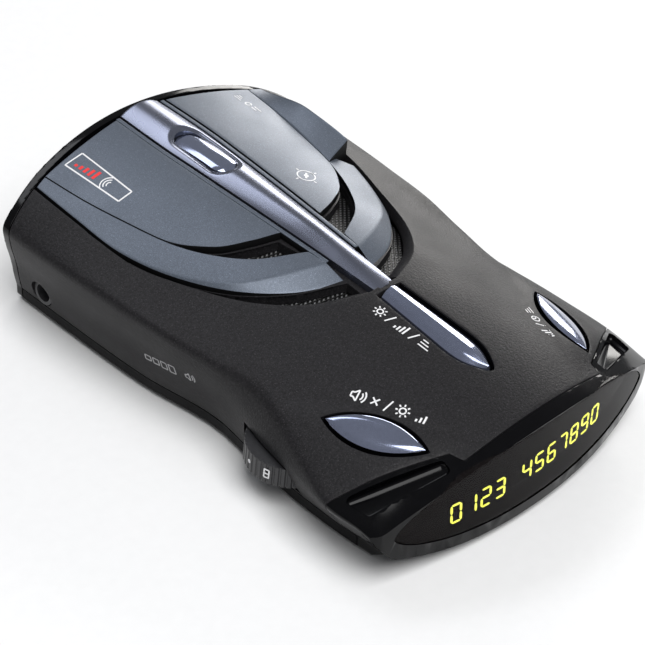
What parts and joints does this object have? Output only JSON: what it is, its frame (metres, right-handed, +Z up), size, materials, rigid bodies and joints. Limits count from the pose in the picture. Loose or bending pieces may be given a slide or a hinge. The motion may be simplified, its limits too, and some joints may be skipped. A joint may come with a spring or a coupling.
{
  "type": "radar detector",
  "caption": "Car radar detector: clamshell case with crowned spine and swept wings, curved display window, press buttons, thumbwheel, bracket slot and release, with its working parts inside.",
  "frame": {"origin": "middle of the footprint, on the surface that the flat underside rests on", "axes": "+X to the driver's right, +Y towards the road (antenna end), -Y towards the driver (display end), +Z up"},
  "size_m": [0.0744, 0.108, 0.03],
  "materials": {
    "case_plastic": "fine sparkle texture, satin",
    "base_plastic": "fine texture",
    "gloss_black": "polished",
    "window_tint": "smoked acrylic, polished",
    "wing_paint": "satin metallic paint, blue-grey",
    "spine_metal": "bright metallic lacquer",
    "grille_mesh": "black punched mesh",
    "button_gloss": "glossy metallic blue-grey",
    "switch_plastic": "moulded",
    "wheel_plastic": "knurled, satin",
    "spring_steel": "bright",
    "horn_zinc": "die-cast, raw",
    "board_green": "solder mask on glass epoxy",
    "display_black": "lit segment display, black body",
    "flex_film": "amber film",
    "lens_glass": "infrared condenser lens",
    "speaker_steel": "black",
    "cone_paper": "treated paper",
    "label_film": "blank silver film"
  },
  "bodies": {
    "root": {"top_shell": "case_plastic", "bottom_shell": "base_plastic", "rear_lens": "gloss_black", "front_bezel": "gloss_black", "display_window": "window_tint", "wing_band_left": "wing_paint", "wing_band_right": "wing_paint", "wing_panel_right": "wing_paint", "wing_leaf_left": "wing_paint", "wing_leaf_right": "wing_paint", "centre_spine": "spine_metal", "grille_left": "grille_mesh", "grille_right": "grille_mesh", "button_switches": "switch_plastic", "latch_spring": "spring_steel", "bracket_guide": "switch_plastic", "pot_body": "switch_plastic", "display_module": "display_black", "display_board": "board_green", "display_flex": "flex_film", "main_board": "board_green", "rf_shield": "spring_steel", "horn_antenna": "horn_zinc", "laser_lens": "lens_glass", "laser_sensor": "switch_plastic", "speaker_frame": "speaker_steel", "speaker_magnet": "spring_steel", "power_socket": "switch_plastic", "case_screws": "spring_steel", "rating_label": "label_film"},
    "volume": {"volume_wheel": "wheel_plastic", "pot_shaft": "spring_steel"},
    "select": {"select_button": "button_gloss", "select_plunger": "switch_plastic"},
    "mute": {"mute_button": "button_gloss", "mute_plunger": "switch_plastic"},
    "mode": {"mode_button": "button_gloss", "mode_plunger": "switch_plastic"},
    "release": {"release_button": "button_gloss", "mount_latch": "spring_steel"},
    "cone": {"speaker_cone": "cone_paper"}
  },
  "joints": [
    {"name": "volume_turn", "type": "hinge", "parent": "root", "child": "volume", "pos_m": [-0.0282, -0.0212, 0.0075], "axis": [0, 0, 1], "range_deg": [-224, 56]},
    {"name": "select_press", "type": "slide", "parent": "root", "child": "select", "axis": [0, 0, -1], "range_m": [0, 0.0005], "stiffness_N_per_m": 800, "springref_m": -0.0005},
    {"name": "mute_press", "type": "slide", "parent": "root", "child": "mute", "axis": [0, 0, -1], "range_m": [0, 0.0005], "stiffness_N_per_m": 800, "springref_m": -0.0005},
    {"name": "mode_press", "type": "slide", "parent": "root", "child": "mode", "axis": [0, 0, -1], "range_m": [0, 0.0005], "stiffness_N_per_m": 800, "springref_m": -0.0005},
    {"name": "release_press", "type": "slide", "parent": "root", "child": "release", "axis": [0, 0, -1], "range_m": [0, 0.0014], "stiffness_N_per_m": 300, "springref_m": -0.003, "deforming": ["latch_spring"]},
    {"name": "cone_stroke", "type": "slide", "parent": "root", "child": "cone", "axis": [0, 0, 1], "range_m": [-0.0002, 0.0002], "stiffness_N_per_m": 1000}
  ]
}
